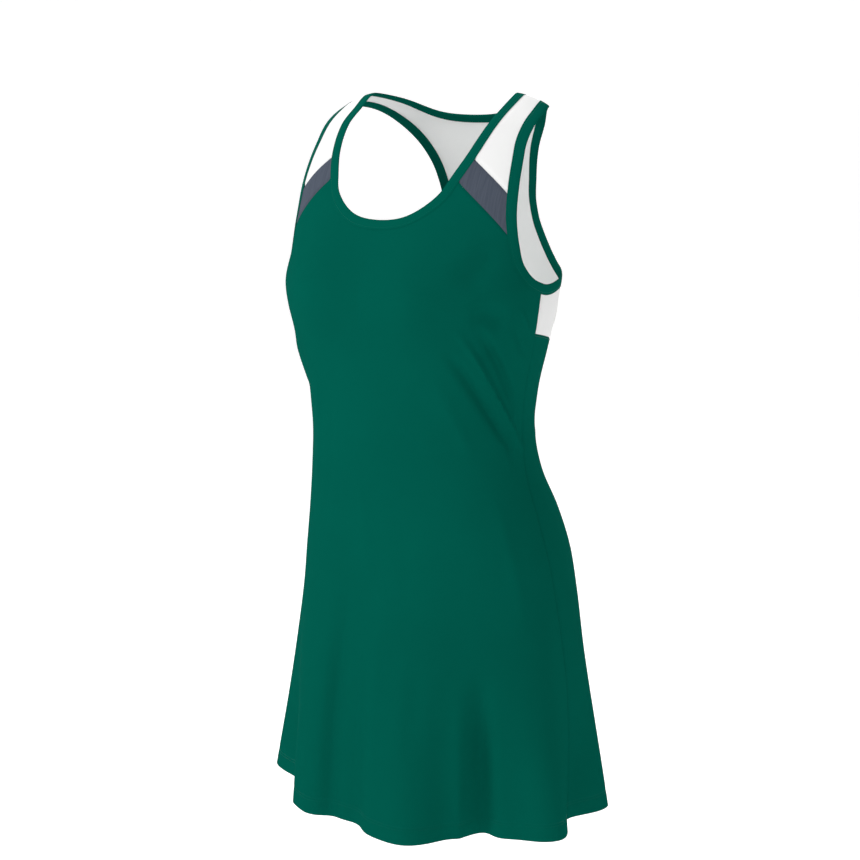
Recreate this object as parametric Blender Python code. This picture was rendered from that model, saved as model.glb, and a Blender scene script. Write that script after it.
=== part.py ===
# Tennis dress: a racerback tank dress with a flared skirt, filled out as it is when worn.
#
# Metres, +Z up. The front faces -Y and +X is the wearer's left. The origin lies midway
# between the two shoulder straps, at the height where the shoulders hold the dress.
#
# Every piece of cloth is a thin wall. All walls lie on one general figure, which FIGURE
# gives as a row of sections from the shoulders to the hem, and each piece is cut from it
# along its own seams and edges.

import bpy
import bmesh
import numpy as np

# Driving sizes
DRESS_LENGTH = 0.820
CLOTH = 0.0012
BINDING_WIDTH = 0.0110
BINDING_THICK = 0.0022
BINDING_ROUND = 0.0008
HEM_TURN_UP = 0.018
HEM_STEP = 0.0015
HEM_EXTRA = 0.0009
SEAM_GAP = 0.0003

HEM_Z = -DRESS_LENGTH
CROWN = 0.002

# The figure: one row for each level
# height, half width, y of the side seam, y of the front, y of the back, squareness of the front
FIGURE = np.array([
    (CROWN,   0.085, -0.0020, -0.0025, -0.0015, 2.20),
    (-0.0150, 0.139, -0.0020, -0.0370, 0.0500, 2.30),
    (-0.0330, 0.158, -0.0060, -0.0630, 0.0680, 2.36),
    (-0.0600, 0.165, -0.0120, -0.0865, 0.0820, 2.42),
    (-0.1000, 0.169, -0.0240, -0.1090, 0.0960, 2.42),
    (-0.1400, 0.168, -0.0360, -0.1245, 0.1020, 2.33),
    (-0.1750, 0.165, -0.0460, -0.1400, 0.1010, 2.28),
    (-0.2110, 0.165, -0.0530, -0.1550, 0.0940, 2.32),
    (-0.2400, 0.162, -0.0550, -0.1580, 0.0860, 2.15),
    (-0.2800, 0.153, -0.0540, -0.1540, 0.0760, 2.05),
    (-0.3270, 0.141, -0.0490, -0.1520, 0.0650, 2.00),
    (-0.3740, 0.136, -0.0450, -0.1510, 0.0620, 2.00),
    (-0.4220, 0.141, -0.0420, -0.1470, 0.0790, 2.00),
    (-0.4700, 0.152, -0.0350, -0.1390, 0.1120, 2.00),
    (-0.5180, 0.162, -0.0280, -0.1370, 0.1320, 2.00),
    (-0.5660, 0.169, -0.0230, -0.1410, 0.1380, 2.00),
    (-0.6400, 0.178, -0.0170, -0.1610, 0.1370, 2.00),
    (-0.7400, 0.190, -0.0130, -0.1770, 0.1420, 2.00),
    (HEM_Z,   0.200, -0.0140, -0.1840, 0.1480, 2.00),
])
BACK_SQUARENESS = 2.0

# Inside the figure, points are found outwards from a core: its top, and its width as a
# share of the point's own distance from the middle
CORE_TOP = -0.070
CORE_SHARE = 0.45
FARTHEST_SHARE = 2.5
HALVINGS = 44
TINY = 1e-6

# Room for the bust, shaped by the cut: cloth bridges from one side to the other
BUST_Z = -0.205
BUST_HALF_HEIGHT = 0.062
BUST_X = 0.078
BUST_HALF_WIDTH = 0.048
BUST_REACH = 0.016
BRIDGE_HALF_WIDTH = 0.085
BRIDGE_REACH = 0.008

# Flutes of the skirt, crest and valley in turn round the hem
# angle from the centre front towards the wearer's left in degrees,
# how far the cloth stands out (or in) at the hem, height where the flute starts
FLUTES = np.array([
    (-81.0,   0.025, -0.46),
    (-59.0,  -0.025, -0.52),
    (-25.0,  -0.002, -0.56),
    (-5.0,   -0.026, -0.46),
    (19.0,    0.015, -0.42),
    (41.0,   -0.029, -0.60),
    (71.0,    0.019, -0.48),
    (91.0,   -0.020, -0.62),
    (113.0,   0.012, -0.55),
    (135.0,  -0.014, -0.58),
    (158.0,   0.015, -0.50),
    (178.0,  -0.016, -0.60),
    (202.0,   0.017, -0.47),
    (222.0,  -0.014, -0.56),
    (240.0,   0.012, -0.60),
    (259.0,  -0.012, -0.58),
])
FLUTE_SOFTNESS = 0.12

# Free edge of the neck, from the centre front over the shoulder to the centre back
# x, y, z
NECK_EDGE = np.array([
    (0.000, -0.120, -0.1355),
    (0.032, -0.119, -0.1310),
    (0.055, -0.115, -0.1185),
    (0.069, -0.108, -0.1050),
    (0.077, -0.098, -0.0880),
    (0.083, -0.081, -0.0680),
    (0.091, -0.053, -0.0360),
    (0.096, -0.029, -0.0150),
    (0.096, -0.002,  0.0000),
    (0.078,  0.022, -0.0045),
    (0.043,  0.050, -0.0215),
    (0.000,  0.060, -0.0232),
])

# Free edge of the wearer's left armhole, from the side seam up the front, over the
# shoulder and down the back to the side seam again
# x, y, z
ARMHOLE_EDGE = np.array([
    (0.1640, -0.053, -0.2015),
    (0.1615, -0.068, -0.1950),
    (0.1600, -0.079, -0.1815),
    (0.1585, -0.084, -0.1590),
    (0.1575, -0.085, -0.1310),
    (0.1565, -0.079, -0.1000),
    (0.1552, -0.067, -0.0700),
    (0.1518, -0.054, -0.0480),
    (0.1470, -0.036, -0.0310),
    (0.1380, -0.014, -0.0220),
    (0.1260,  0.004, -0.0205),
    (0.1110,  0.022, -0.0240),
    (0.0930,  0.045, -0.0400),
    (0.0770,  0.063, -0.0630),
    (0.0685,  0.082, -0.0980),
    (0.0680,  0.093, -0.1240),
    (0.0730,  0.093, -0.1420),
    (0.0840,  0.090, -0.1580),
    (0.1010,  0.083, -0.1740),
    (0.1180,  0.069, -0.1855),
    (0.1380,  0.038, -0.1940),
    (0.1550, -0.006, -0.2005),
    (0.1640, -0.053, -0.2015),
])

# Seams
INSERT_LOW_AT_NECK = -0.093
INSERT_LOW_AT_ARM = -0.149
INSERT_TOP_AT_NECK = -0.069
INSERT_TOP_AT_ARM = -0.105
RACERBACK_WAIST = -0.124
YOKE_SEAM_SIDE = -0.257
YOKE_SEAM_BACK = -0.283
CHEST_LEVEL = -0.295
EVEN_COLUMNS_BELOW = -0.560
RACERBACK_SPREAD = 28.0

# How far the points inside the back yoke's strap keep from its neck edge
EDGE_CLEARANCE = 0.003

# How many points a smooth edge is read at, and how many faces each stretch has
DENSE = 600
SCOOP_STEPS = 8
STRAP_COLUMNS = 3
INSERT_ROWS = 3
YOKE_ROWS = 7
ARM_FRONT_STEPS = 8
ARM_LOW_BACK_STEPS = 8
ARM_HIGH_BACK_STEPS = 10
BACK_NECK_STEPS = 9
CHEST_ROWS = 10
SKIRT_ROWS = 18
BACK_TOP_ROWS = 2
YOKE_LOW_ROWS = 9

COLOURS = {
    "green": (0.0020, 0.0900, 0.0620, 1.0),
    "binding": (0.0022, 0.1080, 0.0730, 1.0),
    "grey": (0.0760, 0.0890, 0.1270, 1.0),
    "white": (0.8200, 0.8200, 0.8200, 1.0),
}
CLOTH_ROUGHNESS = 0.62
SHARP_ANGLE = np.radians(50.0)

for leftover in list(bpy.data.objects):
    bpy.data.objects.remove(leftover, do_unlink=True)


# Reading a table


def smooth(stops, values, where):
    """Read a table through a smooth curve: values at stops, wanted at where."""
    stops = np.asarray(stops, dtype=float)
    values = np.asarray(values, dtype=float).reshape(len(stops), -1)
    slopes = np.gradient(values, stops, axis=0)
    i = np.clip(np.searchsorted(stops, where) - 1, 0, len(stops) - 2)
    width = (stops[i + 1] - stops[i])[:, None]
    u = (np.asarray(where)[:, None] - stops[i][:, None]) / width
    start = values[i] * (1 + 2 * u) * (1 - u) ** 2 + slopes[i] * width * u * (1 - u) ** 2
    end = values[i + 1] * u ** 2 * (3 - 2 * u) + slopes[i + 1] * width * u ** 2 * (u - 1)
    return start + end


def ease(share):
    """0 below 0, 1 above 1, and a soft step between."""
    share = np.clip(share, 0.0, 1.0)
    return share * share * (3 - 2 * share)


# The figure


def section(z):
    """Half width, side y, front y, back y and front squareness at each height."""
    drop = np.sqrt(np.clip(CROWN - z, TINY, None))
    return smooth(np.sqrt(CROWN - FIGURE[:, 0]), FIGURE[:, 1:], drop).T


def flute(angle, z):
    """How far the skirt stands out at an angle (radians) and a height."""
    turn = np.mod(np.degrees(angle) - FLUTES[0, 0], 360.0)
    stops = np.append(FLUTES[:, 0] - FLUTES[0, 0], 360.0)
    here = np.clip(np.searchsorted(stops, turn, side="right") - 1, 0, len(FLUTES) - 1)
    after = (here + 1) % len(FLUTES)
    share = ease((turn - stops[here]) / (stops[here + 1] - stops[here]))

    def reach(row):
        start = FLUTES[row, 2]
        length = start - HEM_Z
        full = ease(length / (length + FLUTE_SOFTNESS))
        return FLUTES[row, 1] * ease((start - z) / (length + FLUTE_SOFTNESS)) / full

    return reach(here) * (1 - share) + reach(after) * share


def figure(points):
    """Below 0 inside the figure, 0 on it, above 0 outside."""
    x, y, z = points.T
    half, side, front, back, squareness = section(z)
    height = np.exp(-((z - BUST_Z) / BUST_HALF_HEIGHT) ** 2)
    mound = BUST_REACH * np.exp(-((np.abs(x) - BUST_X) / BUST_HALF_WIDTH) ** 2)
    bridge = BRIDGE_REACH * np.exp(-(x / BRIDGE_HALF_WIDTH) ** 4)
    depth = np.where(y < side, side - front + (mound + bridge) * height, back - side)
    power = np.where(y < side, squareness, BACK_SQUARENESS)
    across = np.abs(x) / half
    along = np.abs(y - side) / depth
    size = (across ** power + along ** power) ** (1 / power)
    angle = np.arctan2(x / half, (side - y) / depth)
    return size - 1 - flute(angle, z) / half


def on_figure(points):
    """Move each point straight out from, or in to, the core until it lies on the figure."""
    points = np.atleast_2d(np.asarray(points, dtype=float))
    core_z = np.minimum(points[:, 2], CORE_TOP)
    core = np.column_stack((CORE_SHARE * points[:, 0], section(core_z)[1], core_z))
    low = np.zeros(len(points))
    high = np.full(len(points), FARTHEST_SHARE)
    for _ in range(HALVINGS):
        middle = (low + high) / 2
        inside = figure(core + (points - core) * middle[:, None]) < 0
        low = np.where(inside, middle, low)
        high = np.where(inside, high, middle)
    return core + (points - core) * low[:, None]


def outward(points):
    """Unit normals of the figure."""
    slope = np.column_stack([
        figure(points + TINY * axis) - figure(points - TINY * axis) for axis in np.eye(3)])
    return slope / np.linalg.norm(slope, axis=1)[:, None]


def at_angle(degrees, z):
    """The figure's point at each angle from the centre front and each height."""
    turn = np.radians(degrees)
    half, side, front, back, _ = section(z)
    depth = np.where(np.cos(turn) > 0, side - front, back - side)
    guess = np.column_stack((half * np.sin(turn), side - depth * np.cos(turn), z))
    return on_figure(guess)


# Edges


def dense_edge(rows, before, after):
    """Many points of a smooth curve through the rows, on the figure.

    The points before and after carry the curve's direction past its two ends."""
    rows = np.vstack((before, rows, after))
    steps = np.linalg.norm(np.diff(rows, axis=0), axis=1)
    stops = np.concatenate(([0.0], np.cumsum(steps)))
    return on_figure(smooth(stops, rows, np.linspace(stops[1], stops[-2], DENSE)))


def inside_of(edge, width, before, after):
    """The edge moved into the cloth by a width, which may be negative."""
    along = np.gradient(np.vstack((before, edge, after)), axis=0)[1:-1]
    along /= np.linalg.norm(along, axis=1)[:, None]
    return on_figure(edge + width * np.cross(outward(edge), along))


def crossing(edge, z, start, stop):
    """Index of the edge point nearest to a height, between two indices."""
    return start + int(np.argmin(np.abs(edge[start:stop, 2] - z)))


def spread(marks, counts):
    """Indices that cut each stretch between marks into its count of equal steps."""
    parts = [np.linspace(a, b, n + 1)[:-1] for a, b, n in zip(marks, marks[1:], counts)]
    return np.rint(np.append(np.concatenate(parts), marks[-1])).astype(int)


def stretches(edge, marks, counts):
    """The edge's points, one stretch between each mark and the next."""
    return [edge[spread((a, b), (n,))] for a, b, n in zip(marks, marks[1:], counts)]


def between(start, end, count):
    """Points on the figure from one point to another, in equal steps."""
    share = np.linspace(0.0, 1.0, count + 1)[:, None]
    return on_figure(start * (1 - share) + end * share)


def mirrored(points):
    """The same points on the wearer's other side."""
    return points * np.array((-1.0, 1.0, 1.0))


# Walls


def pulled_in(grid, rows=(), columns=()):
    """Draw sides of a grid back by half a seam gap: rows and columns are 0 or -1."""
    grid = grid.copy()
    for row in rows:
        step = grid[1 if row == 0 else -2] - grid[row]
        grid[row] += step / np.linalg.norm(step, axis=-1)[:, None] * SEAM_GAP / 2
    for column in columns:
        step = grid[:, 1 if column == 0 else -2] - grid[:, column]
        grid[:, column] += step / np.linalg.norm(step, axis=-1)[:, None] * SEAM_GAP / 2
    return grid


def draw_back(grid, columns):
    """Draw the given columns' ends on the last row back by half a seam gap."""
    for c in columns:
        step = grid[-2, c] - grid[-1, c]
        grid[-1, c] += step / np.linalg.norm(step) * SEAM_GAP / 2


def keep_off(grid, line, before, after):
    """Push a grid's inner points in from a line of the cloth's edge until they clear it."""
    inward = inside_of(line, -SEAM_GAP, before, after) - line
    inward /= np.linalg.norm(inward, axis=1)[:, None]
    inner = grid[1:-1, 1:-1].reshape(-1, 3)
    nearest = np.argmin(np.linalg.norm(inner[:, None] - line[None], axis=2), axis=1)
    off = np.sum((inner - line[nearest]) * inward[nearest], axis=1)
    push = np.maximum(EDGE_CLEARANCE - off, 0.0)[:, None]
    inner = on_figure(inner + push * inward[nearest])
    grid[1:-1, 1:-1] = inner.reshape(grid[1:-1, 1:-1].shape)


def ruled(bottom, top, rows):
    """A grid on the figure whose columns run straight from the bottom to the top."""
    share = np.linspace(0.0, 1.0, rows + 1)[:, None, None]
    grid = bottom * (1 - share) + top * share
    grid[1:-1] = on_figure(grid[1:-1].reshape(-1, 3)).reshape(grid[1:-1].shape)
    return grid


def keep_to_side_seams(grid, first, last):
    """Put a grid's outer columns on the side seams, given their angles; the top row stays."""
    for column, degrees in ((0, first), (-1, last)):
        z = grid[:-1, column, 2]
        grid[:-1, column] = at_angle(np.full(len(z), degrees), z)


def patch(bottom, top, left, right):
    """A grid of points on the figure, filled in between its four sides."""
    u = np.linspace(0.0, 1.0, len(bottom))[None, :, None]
    v = np.linspace(0.0, 1.0, len(left))[:, None, None]
    sides = (1 - v) * bottom[None] + v * top[None] + (1 - u) * left[:, None] + u * right[:, None]
    corners = ((1 - u) * (1 - v) * bottom[0] + u * (1 - v) * bottom[-1]
               + (1 - u) * v * top[0] + u * v * top[-1])
    grid = sides - corners
    inner = on_figure(grid[1:-1, 1:-1].reshape(-1, 3))
    grid[1:-1, 1:-1] = inner.reshape(grid[1:-1, 1:-1].shape)
    return grid


def cloth(name, colour, vertices, faces):
    """Make one named solid from points and faces."""
    mesh = bpy.data.meshes.new(name)
    mesh.from_pydata([tuple(v) for v in vertices], [], faces)
    work = bmesh.new()
    work.from_mesh(mesh)
    bmesh.ops.recalc_face_normals(work, faces=work.faces[:])
    if work.calc_volume(signed=True) < 0:
        bmesh.ops.reverse_faces(work, faces=work.faces[:])
    work.to_mesh(mesh)
    work.free()
    mesh.shade_smooth()
    mesh.set_sharp_from_angle(angle=SHARP_ANGLE)
    mesh.materials.append(cloth_material(colour))
    piece = bpy.data.objects.new(name, mesh)
    bpy.context.scene.collection.objects.link(piece)
    return piece


def cloth_material(colour):
    """One matt cloth material for each colour."""
    material = bpy.data.materials.get(colour)
    if material is None:
        material = bpy.data.materials.new(colour)
        material.use_nodes = True
        shader = material.node_tree.nodes["Principled BSDF"]
        shader.inputs["Base Color"].default_value = COLOURS[colour]
        shader.inputs["Roughness"].default_value = CLOTH_ROUGHNESS
        shader.inputs["Metallic"].default_value = 0.0
    return material


def wall(name, colour, grids, hem_rows=0):
    """A closed wall of cloth on one or more grids that share points where they meet.

    The first rows of the first grid may be a hem, which is thicker inside."""
    places = {}
    points = []
    thicker = []
    quads = []
    for number, grid in enumerate(grids):
        rows, columns = grid.shape[:2]
        index = np.zeros((rows, columns), dtype=int)
        for r in range(rows):
            for c in range(columns):
                key = tuple(np.rint(grid[r, c] / TINY).astype(int))
                if key not in places:
                    places[key] = len(points)
                    points.append(grid[r, c])
                    thicker.append(HEM_EXTRA if number == 0 and r < hem_rows else 0.0)
                index[r, c] = places[key]
        for r in range(rows - 1):
            for c in range(columns - 1):
                quads.append((index[r, c], index[r, c + 1], index[r + 1, c + 1], index[r + 1, c]))
    points = np.array(points)
    normals = outward(points)
    depth = CLOTH / 2 + np.array(thicker)[:, None]
    vertices = np.concatenate((points + normals * CLOTH / 2, points - normals * depth))
    under = len(points)
    sides = {}
    for quad in quads:
        for a, b in zip(quad, quad[1:] + quad[:1]):
            if (b, a) in sides:
                del sides[(b, a)]
            else:
                sides[(a, b)] = True
    faces = list(quads)
    faces += [tuple(under + i for i in reversed(quad)) for quad in quads]
    faces += [(a, under + a, under + b, b) for a, b in sides]
    return cloth(name, colour, vertices, faces)


def binding(name, edge, seam):
    """Folded tape round an opening, between its free edge and the seam with the cloth."""
    half = BINDING_THICK / 2
    shape = (
        (0.0, half),
        (BINDING_WIDTH - BINDING_ROUND, half),
        (BINDING_WIDTH, half - BINDING_ROUND),
        (BINDING_WIDTH, BINDING_ROUND - half),
        (BINDING_WIDTH - BINDING_ROUND, -half),
        (0.0, -half),
    )
    middles = [seam + (edge - seam) * reach / BINDING_WIDTH for reach, _ in shape]
    rings = [middle + outward(middle) * lift for middle, (_, lift) in zip(middles, shape)]
    corners = len(shape)
    vertices = np.stack(rings, axis=1).reshape(-1, 3)
    faces = []
    for i in range(len(edge)):
        j = (i + 1) % len(edge)
        for k in range(corners):
            m = (k + 1) % corners
            faces.append((i * corners + k, j * corners + k, j * corners + m, i * corners + m))
    return cloth(name, "binding", vertices, faces)


# The pieces

# Neck: free edge, seam line and cut edge of the cloth, centre front to centre back
neck = dense_edge(NECK_EDGE, mirrored(NECK_EDGE[1]), mirrored(NECK_EDGE[-2]))
neck_ends = (mirrored(neck[1]), mirrored(neck[-2]))
neck_seam = inside_of(neck, -BINDING_WIDTH, *neck_ends)
neck_cut = inside_of(neck_seam, -SEAM_GAP, mirrored(neck_seam[1]), mirrored(neck_seam[-2]))
for line in (neck_seam, neck_cut):
    line[[0, -1], 0] = 0.0
crest = int(np.argmax(neck[:, 2]))
neck_marks = [
    0,
    crossing(neck_cut, INSERT_LOW_AT_NECK, 0, crest),
    crossing(neck_cut, INSERT_TOP_AT_NECK, 0, crest),
    crest,
    DENSE - 1,
]
neck_counts = [SCOOP_STEPS, INSERT_ROWS, YOKE_ROWS, BACK_NECK_STEPS]
neck_steps = spread(neck_marks, neck_counts)

# Armhole, wearer's left: up the front, over the shoulder and down the back
arm = dense_edge(ARMHOLE_EDGE, ARMHOLE_EDGE[-2], ARMHOLE_EDGE[1])
arm_ends = (arm[-2], arm[1])
arm_seam = inside_of(arm, BINDING_WIDTH, *arm_ends)
arm_cut = inside_of(arm_seam, SEAM_GAP, arm_seam[-2], arm_seam[1])
arm_crest = int(np.argmax(arm_cut[:, 2]))
arm_marks = [
    0,
    crossing(arm_cut, INSERT_LOW_AT_ARM, 0, arm_crest),
    crossing(arm_cut, INSERT_TOP_AT_ARM, 0, arm_crest),
    arm_crest,
    crossing(arm_cut, RACERBACK_WAIST, arm_crest, DENSE),
    DENSE - 1,
]
arm_counts = [ARM_FRONT_STEPS, INSERT_ROWS, YOKE_ROWS, ARM_HIGH_BACK_STEPS, ARM_LOW_BACK_STEPS]
arm_steps = spread(arm_marks, arm_counts)

scoop, neck_insert, neck_yoke, neck_back = stretches(neck_cut, neck_marks, neck_counts)
arm_front, arm_insert, arm_yoke, arm_high, arm_low = stretches(arm_cut, arm_marks, arm_counts)

insert_low = between(neck_insert[0], arm_insert[0], STRAP_COLUMNS)
insert_top = between(neck_insert[-1], arm_insert[-1], STRAP_COLUMNS)
shoulder_seam = between(neck_yoke[-1], arm_yoke[-1], STRAP_COLUMNS)

# Front: columns run from the hem up to the armholes, the inserts' seams and the scoop
half_top = np.concatenate((arm_front, insert_low[::-1][1:], scoop[::-1][1:]))
front_top = np.concatenate((mirrored(half_top), half_top[::-1][1:]))
front_angles = np.linspace(-90.0, 90.0, len(front_top))
skirt_levels = np.concatenate((
    [HEM_Z, HEM_Z + HEM_TURN_UP, HEM_Z + HEM_TURN_UP + HEM_STEP],
    np.linspace(HEM_Z + HEM_TURN_UP + HEM_STEP, CHEST_LEVEL, SKIRT_ROWS)[1:],
))
turn_up_rows = 2
skirt_front = [at_angle(front_angles, np.full(len(front_angles), z)) for z in skirt_levels]
chest = ruled(skirt_front[-1], front_top, CHEST_ROWS)
keep_to_side_seams(chest, -90.0, 90.0)
front_grid = pulled_in(np.concatenate((skirt_front, chest[1:])), columns=(0, -1))
insert_columns = list(range(ARM_FRONT_STEPS, ARM_FRONT_STEPS + STRAP_COLUMNS + 1))
draw_back(front_grid, insert_columns + [-1 - c for c in insert_columns])
wall("front", "green", [front_grid], turn_up_rows)

# Back yoke: from the shoulder seams down the racerback to the yoke seam and side tabs
waist_line = between(arm_low[0], mirrored(arm_low[0]), 2 * (STRAP_COLUMNS + BACK_NECK_STEPS))
yoke_low_top = np.concatenate((arm_low[::-1], waist_line[1:-1], mirrored(arm_low)))
back_marks = (90.0, 180.0 - RACERBACK_SPREAD, 180.0 + RACERBACK_SPREAD, 270.0)
seam_angles = np.concatenate((
    np.linspace(back_marks[0], back_marks[1], len(arm_low))[:-1],
    np.linspace(back_marks[1], back_marks[2], len(waist_line)),
    np.linspace(back_marks[2], back_marks[3], len(arm_low))[1:],
))
yoke_drop = (YOKE_SEAM_BACK - YOKE_SEAM_SIDE) * np.sin(np.radians(seam_angles - 90.0))
yoke_seam = at_angle(seam_angles, YOKE_SEAM_SIDE + yoke_drop)
yoke_low = ruled(yoke_seam, yoke_low_top, YOKE_LOW_ROWS)
keep_to_side_seams(yoke_low, 90.0, 270.0)
yoke_low = pulled_in(yoke_low, rows=(0,), columns=(0, -1))
strap_top = np.concatenate((shoulder_seam[::-1], neck_back[1:]))
strap_top = np.concatenate((strap_top, mirrored(strap_top)[::-1][1:]))
yoke_high = patch(waist_line, strap_top, arm_high[::-1], mirrored(arm_high)[::-1])
keep_off(yoke_high, neck_cut[crest:], neck_cut[crest - 1], mirrored(neck_cut[-2]))
middle = yoke_high.shape[1] // 2
yoke_high[:, middle + 1:] = mirrored(yoke_high[:, :middle])[:, ::-1]
draw_back(yoke_high, list(range(STRAP_COLUMNS + 1)) + list(range(-STRAP_COLUMNS - 1, 0)))
wall("back_yoke", "white", [yoke_low, yoke_high])

# Back: from the yoke seam down to the hem
even_angles = np.linspace(90.0, 270.0, len(seam_angles))
skirt_back = []
for z in skirt_levels:
    share = ease((z - EVEN_COLUMNS_BELOW) / (CHEST_LEVEL - EVEN_COLUMNS_BELOW))
    angles = even_angles * (1 - share) + seam_angles * share
    skirt_back.append(at_angle(angles, np.full(len(angles), z)))
back_top = ruled(skirt_back[-1], yoke_seam, BACK_TOP_ROWS)
keep_to_side_seams(back_top, 90.0, 270.0)
back_grid = pulled_in(np.concatenate((skirt_back, back_top[1:])), rows=(-1,), columns=(0, -1))
wall("back", "green", [back_grid], turn_up_rows)

# Shoulder yokes, inserts and armhole bindings, one of each on each side
insert_grid = patch(insert_low, insert_top, neck_insert, arm_insert)
insert_grid = pulled_in(insert_grid, rows=(0, -1))
shoulder_grid = patch(insert_top, shoulder_seam, neck_yoke, arm_yoke)
shoulder_grid = pulled_in(shoulder_grid, rows=(0, -1))
for side, turn in (("left", lambda points: points), ("right", mirrored)):
    wall("insert_" + side, "grey", [turn(insert_grid)])
    wall("shoulder_" + side, "white", [turn(shoulder_grid)])
    binding("armhole_binding_" + side, turn(arm[arm_steps[:-1]]), turn(arm_seam[arm_steps[:-1]]))

# Neck binding, one loop
neck_loop = np.concatenate((neck[neck_steps], mirrored(neck[neck_steps])[::-1][1:-1]))
neck_seam_loop = np.concatenate((neck_seam[neck_steps], mirrored(neck_seam[neck_steps])[::-1][1:-1]))
binding("neck_binding", neck_loop, neck_seam_loop)
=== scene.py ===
# Tennis dress: the finished cloth, seams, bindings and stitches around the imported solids.
#
# Metres, +Z up. The front faces -Y and +X is the wearer's left. The origin lies between
# the two shoulder straps, where the shoulders hold the dress.

import bmesh
import bpy
import numpy as np
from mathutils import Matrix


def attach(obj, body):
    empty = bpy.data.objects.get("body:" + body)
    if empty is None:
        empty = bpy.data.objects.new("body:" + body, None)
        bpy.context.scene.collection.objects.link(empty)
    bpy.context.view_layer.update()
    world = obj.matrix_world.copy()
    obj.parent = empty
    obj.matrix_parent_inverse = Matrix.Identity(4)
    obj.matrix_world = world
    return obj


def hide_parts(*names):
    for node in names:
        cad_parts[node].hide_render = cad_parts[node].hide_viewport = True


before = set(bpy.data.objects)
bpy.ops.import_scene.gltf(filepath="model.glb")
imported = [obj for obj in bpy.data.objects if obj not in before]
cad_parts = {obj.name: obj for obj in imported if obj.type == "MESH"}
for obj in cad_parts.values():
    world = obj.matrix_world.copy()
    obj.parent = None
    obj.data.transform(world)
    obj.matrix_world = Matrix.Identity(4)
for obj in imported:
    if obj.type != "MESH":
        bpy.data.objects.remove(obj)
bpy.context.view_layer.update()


# The view
# A camera off the wearer's left front, level with the shoulder straps and tipped a
# little down, with a long lens.

PHOTO_SIZE = 860
VIEW_TURN = np.radians(35.0)
VIEW_DISTANCE = 2.26
VIEW_DIP = np.radians(9.7)
FOCAL_LENGTH_PX = 1964
DRESS_OFF_CENTRE_PX = 15
SENSOR_WIDTH_MM = 36.0

camera_data = bpy.data.cameras.new("camera")
camera_data.sensor_width = SENSOR_WIDTH_MM
camera_data.lens = FOCAL_LENGTH_PX / PHOTO_SIZE * SENSOR_WIDTH_MM
camera_data.shift_x = -DRESS_OFF_CENTRE_PX / PHOTO_SIZE
camera = bpy.data.objects.new("camera", camera_data)
camera.location = (VIEW_DISTANCE * np.sin(VIEW_TURN), -VIEW_DISTANCE * np.cos(VIEW_TURN), 0.0)
camera.rotation_euler = (np.radians(90.0) - VIEW_DIP, 0.0, VIEW_TURN)
bpy.context.scene.collection.objects.link(camera)
bpy.context.scene.camera = camera
bpy.context.scene.view_settings.view_transform = "Standard"


# Front
# One panel of green stretch knit from side seam to side seam. Its hem is turned up and
# coverstitched, its armholes and scoop are bound, and the inserts are sewn to it.

HEM_Z = -0.820
CROWN_Z = 0.002
CLOTH = 0.0012
HEM_TURN_UP = 0.018
HEM_EXTRA = 0.0009
BINDING_WIDTH = 0.0110
SEAM_GAP = 0.00012
SEAM_SINK = 0.0011
TINY = 1e-6

# The shape the cloth is cut to and hangs in: one row for each level
# height, half width, y of the side seam, y of the front, y of the back, squareness of the front
LEVELS = np.array([
    (CROWN_Z, 0.085, -0.0020, -0.0025, -0.0015, 2.20),
    (-0.0150, 0.139, -0.0020, -0.0370, 0.0500, 2.30),
    (-0.0330, 0.158, -0.0060, -0.0630, 0.0680, 2.36),
    (-0.0600, 0.165, -0.0120, -0.0865, 0.0820, 2.42),
    (-0.1000, 0.169, -0.0240, -0.1090, 0.0960, 2.42),
    (-0.1400, 0.168, -0.0360, -0.1245, 0.1020, 2.33),
    (-0.1750, 0.165, -0.0460, -0.1400, 0.1010, 2.28),
    (-0.2110, 0.165, -0.0530, -0.1550, 0.0940, 2.32),
    (-0.2400, 0.162, -0.0550, -0.1580, 0.0860, 2.15),
    (-0.2800, 0.153, -0.0540, -0.1540, 0.0760, 2.05),
    (-0.3270, 0.141, -0.0490, -0.1520, 0.0650, 2.00),
    (-0.3740, 0.136, -0.0450, -0.1510, 0.0620, 2.00),
    (-0.4220, 0.141, -0.0420, -0.1470, 0.0790, 2.00),
    (-0.4700, 0.152, -0.0350, -0.1390, 0.1120, 2.00),
    (-0.5180, 0.162, -0.0280, -0.1370, 0.1320, 2.00),
    (-0.5660, 0.169, -0.0230, -0.1410, 0.1380, 2.00),
    (-0.6400, 0.178, -0.0170, -0.1610, 0.1370, 2.00),
    (-0.7400, 0.190, -0.0130, -0.1770, 0.1420, 2.00),
    (HEM_Z,   0.200, -0.0140, -0.1840, 0.1480, 2.00),
])
BACK_SQUARENESS = 2.0

BUST_Z = -0.205
BUST_HALF_HEIGHT = 0.062
BUST_X = 0.078
BUST_HALF_WIDTH = 0.048
BUST_REACH = 0.016
BRIDGE_HALF_WIDTH = 0.085
BRIDGE_REACH = 0.008

# Flutes of the skirt, crest and valley in turn round the hem
# angle from the centre front towards the wearer's left in degrees,
# how far the cloth stands out (or in) at the hem, height where the flute starts
FLUTES = np.array([
    (-81.0,   0.025, -0.46),
    (-59.0,  -0.025, -0.52),
    (-25.0,  -0.002, -0.56),
    (-5.0,   -0.026, -0.46),
    (19.0,    0.015, -0.42),
    (41.0,   -0.029, -0.60),
    (71.0,    0.019, -0.48),
    (91.0,   -0.020, -0.62),
    (113.0,   0.012, -0.55),
    (135.0,  -0.014, -0.58),
    (158.0,   0.015, -0.50),
    (178.0,  -0.016, -0.60),
    (202.0,   0.017, -0.47),
    (222.0,  -0.014, -0.56),
    (240.0,   0.012, -0.60),
    (259.0,  -0.012, -0.58),
])
FLUTE_SOFTNESS = 0.12

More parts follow.
